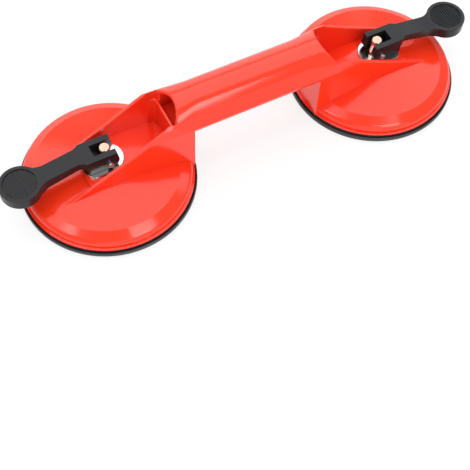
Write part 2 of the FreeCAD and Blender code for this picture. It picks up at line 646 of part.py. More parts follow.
def cam_lever(label, side):
    """The black lever: forked cam block, waisted arm and ribbed thumb pad, moulded in one."""
    body = cup_body(label, side, "cam_lever")
    profile = lever_profile(new_sketch(body, f"{label}_lever_profile", "XZ_Plane"))
    grow(body, f"{label}_blank", profile, "pad_rad+pad_rad", both=True)
    for edge, way, over in (("far", "", "left"), ("near", "-", "right")):
        inward = "right" if over == "left" else "left"
        trim = new_sketch(body, f"{label}_{edge}_trim_plan", "XY_Plane")
        outline(trim, [
            ("-fork_end", f"{way}fork_half"),
            ("fork_end", f"{way}fork_half", inward, "arm_blend"),
            ("arm_start", f"{way}arm_wide"),
            ("arm_flare", f"{way}arm_wide", inward, "pad_blend"),
            ("pad_join", f"{way}pad_join_wide", over, "pad_rad"),
            ("pad_x", f"{way}pad_rad", over, "pad_rad"),
            ("pad_x+pad_rad", "0"),
            ("pad_x+pad_rad+fork_half", "0"),
            ("pad_x+pad_rad+fork_half", f"{way}pad_rad{way or '+'}fork_half"),
            ("-fork_end", f"{way}pad_rad{way or '+'}fork_half"),
        ])
        grow(body, f"{label}_{edge}_trim", trim, "headroom", back=True, kind="Pocket")
    slot = new_sketch(body, f"{label}_slot_plan", "XY_Plane")
    outline(slot, [
        ("-fork_end", "-slot_half"),
        ("slot_end", "-slot_half"),
        ("slot_end", "slot_half"),
        ("-fork_end", "slot_half"),
    ])
    grow(body, f"{label}_slot", slot, "headroom", back=True, kind="Pocket")
    eye = new_sketch(body, f"{label}_lever_eye", "XZ_Plane")
    circle(eye, "0", "pin_high", "pin_rad+pin_fit")
    grow(body, f"{label}_lever_bore", eye, "pin_long", both=True, kind="Pocket")
    dish = new_sketch(body, f"{label}_dish_plan", "XY_Plane", lift="pad_top-pad_dish_deep")
    circle(dish, "pad_x", "0", "pad_dish")
    grow(body, f"{label}_dish", dish, "pad_thick", back=True, kind="Pocket")
    ribs = new_sketch(body, f"{label}_rib_plan", "XY_Plane", lift="pad_top-pad_dish_deep")
    for number in range(RIBS):
        offset = (number - (RIBS - 1) / 2) * SIZE["rib_pitch"]
        half = math.sqrt(SIZE["pad_dish"] ** 2 - (abs(offset) + SIZE["rib_wide"] / 2) ** 2)
        rectangle(ribs, SIZE["pad_x"] + offset, SIZE["rib_wide"] / 2, half)
    grow(body, f"{label}_ribs", ribs, "rib_high")
    for name, radius, depth in (("tier", "pad_tier", "pad_tier_deep"), ("hollow", "pad_hollow", "pad_hollow_deep")):
        under = new_sketch(body, f"{label}_{name}_plan", "XY_Plane", lift="pad_top-pad_thick")
        circle(under, "pad_x", "0", radius)
        grow(body, f"{label}_pad_{name}", under, depth, back=True, kind="Pocket")
    return body


def rectangle(sketch, centre, half_across, half_up):
    """A fixed rectangle about a centre on the sketch's first axis."""
    left = centre - half_across
    right = centre + half_across
    corners = [FreeCAD.Vector(left, -half_up, 0), FreeCAD.Vector(right, -half_up, 0),
               FreeCAD.Vector(right, half_up, 0), FreeCAD.Vector(left, half_up, 0)]
    for start, finish in zip(corners, corners[1:] + corners[:1]):
        index = sketch.addGeometry(Part.LineSegment(start, finish), False)
        sketch.addConstraint(Sketcher.Constraint("Block", index))
    return sketch


PIECES = [housing_and_handle()]
for label, side in SIDES:
    for make in (rubber_disc, insert_plate, stem, washer, cross_pin, cam_lever):
        PIECES.append(make(label, side))
doc.recompute()

os.makedirs("parts", exist_ok=True)
for item in doc.Objects:
    if any(word in ("Invalid", "Error") for word in item.State):
        raise RuntimeError(f"{item.Name} did not build: {item.State}")
for piece in PIECES:
    if piece.Shape.isNull() or not piece.Shape.isValid():
        raise RuntimeError(f"{piece.Label} has no valid shape")
    piece.Shape.exportStep(f"parts/{piece.Label}.step")
    print(piece.Label, len(piece.Shape.Solids), round(piece.Shape.Volume))
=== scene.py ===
# %% [markdown]
# # A floor tile suction lifter
# Two round suction cups hang from one red moulded handle.  On each cup a black cam lever pulls a stud up
# through the housing, and the stud draws the middle of the rubber disc with it.  The construction arrives
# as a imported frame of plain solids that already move.  This file gives every piece its soft edges, its
# finish and its place in a small white studio, one piece at a time.

# %% Load the frame
import json
import math
import bmesh
import bpy
from mathutils import Matrix, Vector
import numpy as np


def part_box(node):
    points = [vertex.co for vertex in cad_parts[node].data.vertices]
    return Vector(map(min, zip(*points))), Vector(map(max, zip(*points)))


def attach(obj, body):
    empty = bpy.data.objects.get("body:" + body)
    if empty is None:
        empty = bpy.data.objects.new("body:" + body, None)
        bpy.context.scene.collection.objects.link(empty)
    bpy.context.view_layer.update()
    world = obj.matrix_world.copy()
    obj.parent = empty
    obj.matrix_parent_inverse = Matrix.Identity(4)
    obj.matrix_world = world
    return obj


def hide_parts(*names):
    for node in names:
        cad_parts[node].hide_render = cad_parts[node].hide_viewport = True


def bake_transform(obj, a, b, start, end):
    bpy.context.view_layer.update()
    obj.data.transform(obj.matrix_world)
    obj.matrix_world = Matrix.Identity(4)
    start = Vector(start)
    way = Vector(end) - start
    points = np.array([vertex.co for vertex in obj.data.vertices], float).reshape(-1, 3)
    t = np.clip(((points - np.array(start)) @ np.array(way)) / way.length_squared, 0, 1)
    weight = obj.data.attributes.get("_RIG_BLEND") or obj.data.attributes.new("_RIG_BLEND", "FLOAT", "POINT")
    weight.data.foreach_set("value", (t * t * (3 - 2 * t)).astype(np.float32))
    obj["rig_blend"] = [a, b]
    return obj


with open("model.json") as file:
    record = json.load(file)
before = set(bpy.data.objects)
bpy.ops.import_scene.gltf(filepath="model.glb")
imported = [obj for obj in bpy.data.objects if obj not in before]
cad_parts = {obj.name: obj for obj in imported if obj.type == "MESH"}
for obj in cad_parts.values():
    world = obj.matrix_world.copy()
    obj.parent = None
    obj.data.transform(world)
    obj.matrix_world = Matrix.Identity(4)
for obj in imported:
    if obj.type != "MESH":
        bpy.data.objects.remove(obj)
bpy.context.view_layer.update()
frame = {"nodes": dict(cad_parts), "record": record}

NODES = frame["nodes"]
SCENE = bpy.context.scene
MM = 0.001
SIDES = ("left", "right")
print("pieces in the frame:", len(NODES))

# %% [markdown]
# ## Measures taken from the construction
# Nothing is placed by eye twice.  A node's box in the frame tells where its cup stands and how large a
# disc or washer is, so later cells ask these few values for their sizes.

# %% Measures of the cups
def middle(node):
    """The middle of a node's box at rest."""
    low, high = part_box(node)
    return (Vector(low) + Vector(high)) / 2


CUP = {side: middle(f"{side}_stem") for side in SIDES}
RUBBER_LOW, RUBBER_HIGH = (corner[2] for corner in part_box("right_rubber_disc"))
RUBBER_RADIUS = (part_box("right_rubber_disc")[1][1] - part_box("right_rubber_disc")[0][1]) / 2
PLATE_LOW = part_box("right_insert_plate")[0][2]
PLATE_RADIUS = (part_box("right_insert_plate")[1][1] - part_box("right_insert_plate")[0][1]) / 2
print("cup centres (mm):", [round(CUP[side].x / MM, 1) for side in SIDES])
print("rubber radius (mm):", round(RUBBER_RADIUS / MM, 1))
print("rubber height (mm):", round((RUBBER_HIGH - RUBBER_LOW) / MM, 1))

# %% [markdown]
# ## Smooth copies of the solids
# A CAD mesh arrives as loose triangles, and loose triangles shade flat.  A copy whose doubles are merged
# can shade smoothly wherever two faces meet at a small angle and keep every real corner sharp.  The
# Weighted Normal modifier then lets large faces decide the shading near a rounded edge, so flat walls stay
# flat beside their fillets.  It is applied at once, which leaves a plain mesh.

# %% Merge a node's mesh
MERGE_DISTANCE = 0.002 * MM
COLLAPSED_EDGE = 0.001 * MM


def body_name(node):
    """The moving body that a CAD node belongs to."""
    return next(body for body, members in frame["record"]["behaviour"]["bodies"].items() if node in members)


def merged_copy(node):
    """A bmesh of a node with its doubles merged and its collapsed faces taken out."""
    work = bmesh.new()
    work.from_mesh(NODES[node].data)
    bmesh.ops.remove_doubles(work, verts=work.verts, dist=MERGE_DISTANCE)
    bmesh.ops.dissolve_degenerate(work, edges=work.edges, dist=COLLAPSED_EDGE)
    return work


def link_mesh(work, name):
    """Turn a bmesh into an object in the scene."""
    mesh = bpy.data.meshes.new(name)
    work.to_mesh(mesh)
    work.free()
    piece = bpy.data.objects.new(name, mesh)
    SCENE.collection.objects.link(piece)
    return piece


def plain_mesh(piece):
    """Replace an object's mesh by what its modifiers make of it, and drop the modifiers."""
    evaluated = piece.evaluated_get(bpy.context.evaluated_depsgraph_get())
    finished = bpy.data.meshes.new_from_object(evaluated)
    piece.modifiers.clear()
    piece.data = finished
    return piece


def smooth(piece, angle, mark=None):
    """Shade smoothly up to an angle in degrees, with normals weighted by face area.

    The optional marker may add sharp edges or flat faces of its own.
    """
    piece.data.shade_smooth()
    piece.data.set_sharp_from_angle(angle=math.radians(angle))
    if mark:
        mark(piece)
    weigh = piece.modifiers.new("even_normals", "WEIGHTED_NORMAL")
    weigh.keep_sharp = True
    return plain_mesh(piece)


print("pieces to merge:", ", ".join(sorted(NODES)))

# %% [markdown]
# ### One piece for one node
# A finished piece has to stand for its node in the construction.  It takes its material, hides the node
# that it replaces, and rides the body that the node rides, so that it moves when the joints move.

# %% Put a finished piece in a node's place
def seat(piece, node, material):
    """The piece stands for its node, takes the material and moves with the node's body."""
    piece.data.materials.clear()
    piece.data.materials.append(material)
    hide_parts(node)
    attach(piece, body_name(node))
    print(piece.name, "faces:", len(piece.data.polygons))


# %% [markdown]
# ## Surface effects that several materials share
# Moulded plastic, rubber and stamped steel all break up a reflection a little.  Each shared effect is a
# node group: built once, with named inputs, and placed in a material with that material's own numbers.
# A group gives out only colours, heights and roughness values.  The shader itself stays in the material.

# %% A helper for node groups
def new_group(name, inputs, outputs):
    """A shader node group with float, colour or vector sockets, and its two end nodes."""
    group = bpy.data.node_groups.new(name, "ShaderNodeTree")
    for socket, kind in inputs:
        group.interface.new_socket(socket, in_out="INPUT", socket_type=kind)
    for socket, kind in outputs:
        group.interface.new_socket(socket, in_out="OUTPUT", socket_type=kind)
    return group, group.nodes.new("NodeGroupInput"), group.nodes.new("NodeGroupOutput")


FLOAT = "NodeSocketFloat"
COLOUR = "NodeSocketColor"
VECTOR = "NodeSocketVector"
print("kinds of socket:", FLOAT, COLOUR, VECTOR)


# %% [markdown]
# ### Moulded skin
# A mould leaves a very fine unevenness.  One noise spreads the roughness between two limits, and a finer
# noise gives a height for a Bump node.

# %% Build the moulded skin
NOISE_LOW = 0.35
NOISE_HIGH = 0.65


def moulded_skin():
    """Roughness that drifts between two limits, and the height of a fine grain."""
    group, start, end = new_group(
        "moulded_skin",
        [("Vector", VECTOR), ("Patch scale", FLOAT), ("Grain scale", FLOAT),
         ("Smoothest", FLOAT), ("Roughest", FLOAT)],
        [("Roughness", FLOAT), ("Height", FLOAT)],
    )
    links = group.links
    patches = group.nodes.new("ShaderNodeTexNoise")
    patches.inputs["Detail"].default_value = 3
    spread = group.nodes.new("ShaderNodeMapRange")
    spread.inputs["From Min"].default_value = NOISE_LOW
    spread.inputs["From Max"].default_value = NOISE_HIGH
    grain = group.nodes.new("ShaderNodeTexNoise")
    grain.inputs["Detail"].default_value = 2
    links.new(start.outputs["Vector"], patches.inputs["Vector"])
    links.new(start.outputs["Patch scale"], patches.inputs["Scale"])
    links.new(patches.outputs["Fac"], spread.inputs["Value"])
    links.new(start.outputs["Smoothest"], spread.inputs["To Min"])
    links.new(start.outputs["Roughest"], spread.inputs["To Max"])
    links.new(spread.outputs["Result"], end.inputs["Roughness"])
    links.new(start.outputs["Vector"], grain.inputs["Vector"])
    links.new(start.outputs["Grain scale"], grain.inputs["Scale"])
    links.new(grain.outputs["Fac"], end.inputs["Height"])
    return group


MOULDED_SKIN = moulded_skin()
print("group:", MOULDED_SKIN.name)


# %% [markdown]
# ### Colour drift
# No moulding is one flat colour: pigment, flow and handling move it by a few hundredths.  The group mixes
# two near colours by a slow noise.

# %% Build the colour drift
def colour_drift():
    """A colour that moves slowly between two near ones."""
    group, start, end = new_group(
        "colour_drift",
        [("Vector", VECTOR), ("Scale", FLOAT), ("Main", COLOUR), ("Other", COLOUR)],
        [("Colour", COLOUR)],
    )
    links = group.links
    cloud = group.nodes.new("ShaderNodeTexNoise")
    cloud.inputs["Detail"].default_value = 4
    cloud.inputs["Roughness"].default_value = 0.6
    mix = group.nodes.new("ShaderNodeMix")
    mix.data_type = "RGBA"
    links.new(start.outputs["Vector"], cloud.inputs["Vector"])
    links.new(start.outputs["Scale"], cloud.inputs["Scale"])
    links.new(cloud.outputs["Fac"], mix.inputs[0])
    links.new(start.outputs["Main"], mix.inputs[6])
    links.new(start.outputs["Other"], mix.inputs[7])
    links.new(mix.outputs[2], end.inputs["Colour"])
    return group


COLOUR_DRIFT = colour_drift()
print("group:", COLOUR_DRIFT.name)


# %% [markdown]
# ### Turned rings
# Lathes and spinning polishers leave rings round an axis.  The distance from that axis, taken from centred
# coordinates, drives a fine wave that becomes a height.

# %% Build the turned rings
def turned_rings():
    """The height of fine rings round an upright axis."""
    group, start, end = new_group(
        "turned_rings",
        [("Centred", VECTOR), ("Rings per metre", FLOAT)],
        [("Height", FLOAT)],
    )
    links = group.links
    split = group.nodes.new("ShaderNodeSeparateXYZ")
    flat = group.nodes.new("ShaderNodeCombineXYZ")
    length = group.nodes.new("ShaderNodeVectorMath")
    length.operation = "LENGTH"
    many = group.nodes.new("ShaderNodeMath")
    many.operation = "MULTIPLY"
    wave = group.nodes.new("ShaderNodeMath")
    wave.operation = "SINE"
    links.new(start.outputs["Centred"], split.inputs[0])
    links.new(split.outputs["X"], flat.inputs["X"])
    links.new(split.outputs["Y"], flat.inputs["Y"])
    links.new(flat.outputs[0], length.inputs[0])
    links.new(length.outputs["Value"], many.inputs[0])
    links.new(start.outputs["Rings per metre"], many.inputs[1])
    links.new(many.outputs[0], wave.inputs[0])
    links.new(wave.outputs[0], end.inputs["Height"])
    return group


TURNED_RINGS = turned_rings()
print("group:", TURNED_RINGS.name)


# %% [markdown]
# ## Materials
# Every material starts the same way: constants go straight on the Principled shader, and only what
# changes over the surface comes from a group.  This helper wires the skin and the drift for one finish.

# %% Start a finish
def new_finish(name, roughness, metallic=0.0, specular=0.5):
    """A material with its constants on the shader, and handles to its tree and shader."""
    material = bpy.data.materials.new(name)
    material.use_nodes = True
    shader = material.node_tree.nodes["Principled BSDF"]
    shader.inputs["Roughness"].default_value = roughness
    shader.inputs["Metallic"].default_value = metallic
    shader.inputs["Specular IOR Level"].default_value = specular
    return material, material.node_tree, shader


def place_group(tree, group, **values):
    """Put a group in a material and set its inputs, underscores standing for spaces."""
    node = tree.nodes.new("ShaderNodeGroup")
    node.node_tree = group
    for socket, value in values.items():
        node.inputs[socket.replace("_", " ")].default_value = value
    return node


def object_coordinates(tree, centre=None):
    """Object coordinates, moved so that their origin is at centre."""
    source = tree.nodes.new("ShaderNodeTexCoord")
    if centre is None:
        return source.outputs["Object"]
    shift = tree.nodes.new("ShaderNodeMapping")
    shift.inputs["Location"].default_value = (-centre.x, -centre.y, -centre.z)
    tree.links.new(source.outputs["Object"], shift.inputs["Vector"])
    return shift.outputs["Vector"]


def bump(tree, shader, height, distance):
    """Feed a height to the shader's normal."""
    relief = tree.nodes.new("ShaderNodeBump")
    relief.inputs["Distance"].default_value = distance
    relief.inputs["Strength"].default_value = 1.0
    tree.links.new(height, relief.inputs["Height"])
    tree.links.new(relief.outputs["Normal"], shader.inputs["Normal"])


def moulded(name, main, other, smoothest, roughest, grain_scale, depth, specular):
    """A moulded finish: drifting colour, uneven gloss and a fine grain."""
    material, tree, shader = new_finish(name, smoothest, specular=specular)
    where = object_coordinates(tree)
    drift = place_group(tree, COLOUR_DRIFT, Scale=18, Main=(*main, 1), Other=(*other, 1))
    skin = place_group(tree, MOULDED_SKIN, Patch_scale=30, Grain_scale=grain_scale,
                       Smoothest=smoothest, Roughest=roughest)
    tree.links.new(where, drift.inputs["Vector"])
    tree.links.new(where, skin.inputs["Vector"])
    tree.links.new(drift.outputs["Colour"], shader.inputs["Base Color"])
    tree.links.new(skin.outputs["Roughness"], shader.inputs["Roughness"])
    bump(tree, shader, skin.outputs["Height"], depth)
    return material


# %% [markdown]
# ### Glossy red moulding
# The handle and housings are injection moulded in a strong orange red with a high gloss.  The mould is
# polished, so the grain is faint and the roughness low.

# %% Red finish
RED = moulded(
    "glossy_red_moulding",
    main=(0.9, 0.036, 0.010), other=(0.87, 0.032, 0.008),
    smoothest=0.12, roughest=0.16, grain_scale=700, depth=0.004 * MM, specular=0.48,
)
print("finish:", RED.name)

# %% [markdown]
# ### Black nylon
# The levers are moulded in black glass filled nylon.  It is satin: dark grey where it mirrors the lights
# and nearly black on the sides.

# %% Black finish
BLACK = moulded(
    "satin_black_nylon",
    main=(0.009, 0.0095, 0.011), other=(0.013, 0.0135, 0.015),
    smoothest=0.25, roughest=0.32, grain_scale=1800, depth=0.006 * MM, specular=0.27,
)
print("finish:", BLACK.name)

# %% [markdown]
# ### Rubber
# The discs are soft black rubber with a satin skin, a little greyer where it has bloomed.  The roughness
# moves over a wider range than on the moulding.

# %% Rubber finish
RUBBER = moulded(
    "soft_black_rubber",
    main=(0.02, 0.02, 0.022), other=(0.034, 0.034, 0.037),
    smoothest=0.3, roughest=0.52, grain_scale=900, depth=0.008 * MM, specular=0.45,
)
print("finish:", RUBBER.name)


# %% [markdown]
# ### Steel and copper
# The washers are bright steel, the pins ground steel, the insert plates plain stamped steel, and the studs
# steel with a thin copper coat.  All are metals, so the base colour tints the mirror image.  Rings round
# the cup's axis show how each was turned, and a slow noise varies the polish.

# %% Metal finishes
def turned_metal(name, centre, main, other, smoothest, roughest, rings, depth):
    """A metal finish with rings round a cup's axis."""
    material, tree, shader = new_finish(name, smoothest, metallic=1.0)
    where = object_coordinates(tree, centre)
    drift = place_group(tree, COLOUR_DRIFT, Scale=60, Main=(*main, 1), Other=(*other, 1))
    skin = place_group(tree, MOULDED_SKIN, Patch_scale=90, Smoothest=smoothest, Roughest=roughest)
    lines = place_group(tree, TURNED_RINGS, Rings_per_metre=rings)
    tree.links.new(where, drift.inputs["Vector"])
    tree.links.new(where, skin.inputs["Vector"])
    tree.links.new(where, lines.inputs["Centred"])
    tree.links.new(drift.outputs["Colour"], shader.inputs["Base Color"])
    tree.links.new(skin.outputs["Roughness"], shader.inputs["Roughness"])
    bump(tree, shader, lines.outputs["Height"], depth)
    return material


METALS = {
    "bright_steel": {"main": (0.74, 0.74, 0.75), "other": (0.64, 0.64, 0.66),
                     "smoothest": 0.12, "roughest": 0.2, "rings": 14000, "depth": 0.001 * MM},
    "ground_steel": {"main": (0.82, 0.82, 0.83), "other": (0.74, 0.74, 0.76),
                     "smoothest": 0.3, "roughest": 0.38, "rings": 14000, "depth": 0.001 * MM},
    "stamped_steel": {"main": (0.5, 0.5, 0.52), "other": (0.4, 0.4, 0.42),
                      "smoothest": 0.32, "roughest": 0.45, "rings": 9000, "depth": 0.002 * MM},
    "coppered_steel": {"main": (0.64, 0.41, 0.32), "other": (0.58, 0.36, 0.27),
                       "smoothest": 0.14, "roughest": 0.22, "rings": 12000, "depth": 0.001 * MM},
}
METAL = {(side, kind): turned_metal(f"{side}_{kind}", CUP[side], **values)
         for side in SIDES for kind, values in METALS.items()}
print("metal finishes:", len(METAL))

# %% [markdown]
# ## The red moulding
# The handle, the two necks with their cheeks and both cup housings are one moulding.  The solid already
# has its facets, bevels and fillets, so only the shading needs care.  A small smoothing angle keeps its
# shallow facets crisp.  Two creases run round each cup, at the inner and the outer edge of its sloped band.
# Some of their short edges turn by less than that angle, so they are found by their distance from the
# cup's axis and marked sharp.

# %% Dress the moulding
CREASE_RADII = (49.25 * MM, 54.5 * MM)
CREASE_SLACK = 0.12 * MM
LEVEL_SLACK = 0.03 * MM
MOULDING_ANGLE = 9


def mark_ring_creases(piece):
    """Keep the two turned creases of each cup sharp, whatever their angle."""
    mesh = piece.data
    marks = mesh.attributes.get("sharp_edge") or mesh.attributes.new("sharp_edge", "BOOLEAN", "EDGE")
    found = 0
    for edge in mesh.edges:
        ends = [mesh.vertices[corner].co for corner in edge.vertices]
        centre = CUP["right"] if ends[0].x > 0 else CUP["left"]
        reach = [math.hypot(end.x - centre.x, end.y) for end in ends]
        on_ring = any(all(abs(value - ring) < CREASE_SLACK for value in reach) for ring in CREASE_RADII)
        if on_ring and abs(ends[0].z - ends[1].z) < LEVEL_SLACK:
            marks.data[edge.index].value = True
            found += 1
    print("crease edges:", found)


moulding = link_mesh(merged_copy("handle_body"), "red_moulding")
smooth(moulding, MOULDING_ANGLE, mark_ring_creases)
seat(moulding, "handle_body", RED)

# %% [markdown]
# ## The cam washers
# The washer under each fork is round towards the handle and longer under the lever, where its end is a
# wide arc.  Its plan is a half circle, two straight sides and that arc, with a hole for the stud.  The plan
# is drawn as two loops of points, joined by walls, and the upper rims get a fine bevel that catches light.

# %% Draw the washer's plan
WASHER_ARC = 17.3 * MM
WASHER_HOLE = 4.7 * MM
WASHER_BEVEL = 0.2 * MM
WASHER_REACH = 12 * MM
WASHER_POINTS = 144


def washer_plan(radius, outward):
    """Points round the washer's outer edge, and as many round its hole at the same angles."""
    outer, inner = [], []
    for turn in range(WASHER_POINTS):
        angle = 2 * math.pi * turn / WASHER_POINTS
        along, aside = math.cos(angle), math.sin(angle)
        reach = radius if along <= 0 else min(radius / max(abs(aside), 1e-6), WASHER_ARC)
        outer.append((outward * along * reach, aside * reach))
        inner.append((outward * along * WASHER_HOLE, aside * WASHER_HOLE))
    return outer, inner


print("washer hole (mm):", round(WASHER_HOLE / MM, 1))

# %% [markdown]
# ### Raising the plan
# Six loops make the solid: up the outer wall, over the bevels and down the wall of the hole.  Each loop is
# the plan at one height, drawn a little smaller or larger where a bevel takes the corner off.  Quads join
# each loop to the next, and the last to the first, so the shell is closed.

# %% Raise the washer
def cam_washer(side):
    """The solid washer, standing on its seat."""
    low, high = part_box(f"{side}_washer")
    outer, inner = washer_plan((high[1] - low[1]) / 2, 1 if side == "right" else -1)
    base, shoulder, top = low[2], high[2] - WASHER_BEVEL, high[2]
    levels = ((outer, base, 1), (outer, shoulder, 1), (outer, top, 1 - WASHER_BEVEL / WASHER_REACH),
              (inner, top, 1 + WASHER_BEVEL / WASHER_HOLE), (inner, shoulder, 1), (inner, base, 1))
    work = bmesh.new()
    rings = [[work.verts.new((CUP[side].x + x * share, CUP[side].y + y * share, height)) for x, y in plan]
             for plan, height, share in levels]
    for upper, lower in zip(rings, rings[1:] + rings[:1]):
        for place in range(WASHER_POINTS):
            following = (place + 1) % WASHER_POINTS
            work.faces.new((upper[place], upper[following], lower[following], lower[place]))
    bmesh.ops.recalc_face_normals(work, faces=work.faces)
    return link_mesh(work, f"{side}_cam_washer")


print("washer bevel (mm):", round(WASHER_BEVEL / MM, 1))

# %% [markdown]
# ## Washers, studs, pins and insert plates
# The studs and pins already have their bevels in the solid, and the plates lie hidden in the rubber.  Each
# takes its merged mesh, smooth shading round the barrel and its own metal.  The drawn washers go with them.

# %% Dress the metal parts
METAL_ANGLE = 30
METAL_PARTS = {"cross_pin": ("axle_pin", "ground_steel"),
               "insert_plate": ("backing_plate", "stamped_steel"),
               "stem": ("pull_stud", "coppered_steel")}
for side in SIDES:
    seat(smooth(cam_washer(side), METAL_ANGLE), f"{side}_washer", METAL[side, "bright_steel"])
    for part, (name, kind) in METAL_PARTS.items():
        piece = link_mesh(merged_copy(f"{side}_{part}"), f"{side}_{name}")
        seat(smooth(piece, METAL_ANGLE), f"{side}_{part}", METAL[side, kind])

# %% [markdown]
# ## The cam levers
# Each lever is one nylon moulding: a forked cam, a waisted arm and a thumb pad with fine ribs.  Its long
# edges are rounded like those of any grip.  The pin's bore and the pad are left out, because a bevel this
# wide would eat a rib.  A small chooser tells which edges may be rounded.

# %% Choose a lever's edges
BORE_REACH = 3 * MM
SHORTEST_EDGE = 0.3 * MM
PAD_SHARE = 0.97


def thumb_pad(side):
    """Where a lever's round pad has its centre along X, and its radius."""
    low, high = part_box(f"{side}_cam_lever")
    radius = (high[1] - low[1]) / 2
    return (high[0] - radius if side == "right" else low[0] + radius), radius


def lever_edges(side):
    """A chooser for one lever: the outer edges, not the pad and not the bore."""
    pad_x, pad_radius = thumb_pad(side)
    pin = middle(f"{side}_cross_pin")

    def choose(edge):
        spot = (edge.verts[0].co + edge.verts[1].co) / 2
        on_pad = math.hypot(spot.x - pad_x, spot.y) < pad_radius * PAD_SHARE
        from_pin = math.hypot(spot.x - pin.x, spot.z - pin.z)
        return not on_pad and from_pin > BORE_REACH and edge.calc_length() > SHORTEST_EDGE
    return choose


print("pad centres (mm):", [round(thumb_pad(side)[0] / MM, 1) for side in SIDES])

# %% [markdown]
# ### Rounding the edges
# Flat regions are first joined to whole faces, so that a bevel runs along an edge without steps.  Then the
# edges that turn by more than 35 degrees get a small rounded bevel.

# %% Soften edges
LEVER_EDGE = 0.4 * MM
FLAT_ANGLE = math.radians(0.4)
CORNER_ANGLE = math.radians(35)


def soften(work, width, choose):
    """Round the sharp edges that the chooser accepts."""
    flat = [edge for edge in work.edges if edge.is_manifold and choose(edge)]
    corners = list(dict.fromkeys(corner for edge in flat for corner in edge.verts))
    bmesh.ops.dissolve_limit(work, angle_limit=FLAT_ANGLE, verts=corners, edges=flat)
    sharp = [edge for edge in work.edges
             if edge.is_manifold and edge.calc_face_angle(0) > CORNER_ANGLE and choose(edge)]
    bmesh.ops.bevel(work, geom=sharp, offset=width, offset_type="OFFSET", segments=2, profile=0.6,
                    affect="EDGES", clamp_overlap=False)
    return work


print("lever edge (mm):", round(LEVER_EDGE / MM, 2))

# %% [markdown]
# ### The ribs of the thumb pad
# The ribs stand in a shallow dish.  Their long upper edges are taken off, so that each catches a thin line
# of light, and the faces of the dish are shaded flat, which keeps every rib alike.

# %% Round the ribs
DISH_RADIUS = 11.5 * MM
DISH_FLOOR = 33.5 * MM
RIB_TOP = 34.3 * MM
RIB_BEVEL = 0.28 * MM
RIB_TURN = 1.0
RIB_SLACK = 0.05 * MM
TOP_SLACK = 0.01 * MM


def round_ribs(work, side):
    """Bevel the long upper edges of the ribs."""
    pad_x = thumb_pad(side)[0]
    upper = []
    for edge in work.edges:
        ends = [end.co for end in edge.verts]
        spot = (ends[0] + ends[1]) / 2
        in_dish = math.hypot(spot.x - pad_x, spot.y) < DISH_RADIUS
        on_top = all(abs(end.z - RIB_TOP) < TOP_SLACK for end in ends)
        along_rib = abs(ends[0].x - ends[1].x) < RIB_SLACK
        if in_dish and on_top and along_rib and edge.is_manifold and edge.calc_face_angle(0) > RIB_TURN:
            upper.append(edge)
    bmesh.ops.bevel(work, geom=upper, offset=RIB_BEVEL, offset_type="OFFSET", segments=2, profile=0.5,
                    affect="EDGES", clamp_overlap=False)
    print("rib edges:", len(upper))
    return work


def flat_ribs(side):
    """A marker for one lever: every face of the ribbed dish is shaded flat."""
    pad_x = thumb_pad(side)[0]

    def mark(piece):
        for face in piece.data.polygons:
            in_dish = math.hypot(face.center.x - pad_x, face.center.y) < DISH_RADIUS
            if in_dish and face.center.z > DISH_FLOOR:
                face.use_smooth = False
    return mark


# %% [markdown]
# ### Dressing the levers
# The merged solid is softened, its ribs are rounded, and it is shaded smoothly up to 32 degrees, which lets
# the two steps of a rounded edge run together.

# %% Dress the levers
LEVER_ANGLE = 32
for side in SIDES:
    work = soften(merged_copy(f"{side}_cam_lever"), LEVER_EDGE, lever_edges(side))
    lever = link_mesh(round_ribs(work, side), f"{side}_lever")
    seat(smooth(lever, LEVER_ANGLE, flat_ribs(side)), f"{side}_cam_lever", BLACK)

# %% [markdown]
# ## The suction rubbers
# A rubber disc is a turned shape: a flat sealing ring, a step, a hollowed middle with a round boss, and an
# upright lip with a narrow groove between it and the housing.  A profile swept round the axis gives it.
# Only the profile's corners are written down; the sweep is a loop over the angle.

# %% The rubber's profile
SOLE_CORNERS = 14


def rubber_profile():
    """Radius and height of each corner, in metres, from the sole's middle outwards and back inside.

    The first fourteen lie on the sole: the boss with its rings, the hollow, the step and the flat ring.
    """
    rim = RUBBER_RADIUS
    bed = PLATE_RADIUS + 0.35 * MM
    step = PLATE_RADIUS - 0.5 * MM
    return [
        (0.0, 0.25 * MM), (1.3 * MM, 0.25 * MM), (1.7 * MM, 0.75 * MM), (2.9 * MM, 0.75 * MM),
        (3.3 * MM, 0.25 * MM), (5.4 * MM, 0.25 * MM), (6.2 * MM, 0.45 * MM), (7.2 * MM, 0.7 * MM),
        (step - 9 * MM, 0.7 * MM), (step - 2.2 * MM, 0.66 * MM), (step - 0.9 * MM, 0.4 * MM),
        (step, 0.06 * MM), (step + 0.6 * MM, 0.0), (rim - 8 * MM, 0.0),
        (rim - 1.0 * MM, 0.0), (rim - 0.35 * MM, 0.15 * MM),
        (rim, 0.8 * MM), (rim, 3.3 * MM), (rim - 0.15 * MM, 3.6 * MM), (rim - 0.45 * MM, 3.7 * MM),
        (rim - 1.8 * MM, 2.8 * MM), (rim - 2.1 * MM, RUBBER_HIGH - 0.3 * MM), (rim - 2.4 * MM, RUBBER_HIGH),
        (rim - 9 * MM, RUBBER_HIGH), (rim - 15 * MM, RUBBER_HIGH), (bed, RUBBER_HIGH), (bed, PLATE_LOW),
        (step - 8 * MM, PLATE_LOW), (8 * MM, PLATE_LOW), (0.0, PLATE_LOW),
    ]


print("corners of the rubber's profile:", len(rubber_profile()))


# %% [markdown]
# ### Sweeping the profile
# Each corner becomes a ring of points round the cup's axis, and a corner on the axis becomes one point.
# Quads join the rings, and triangles close the two poles.

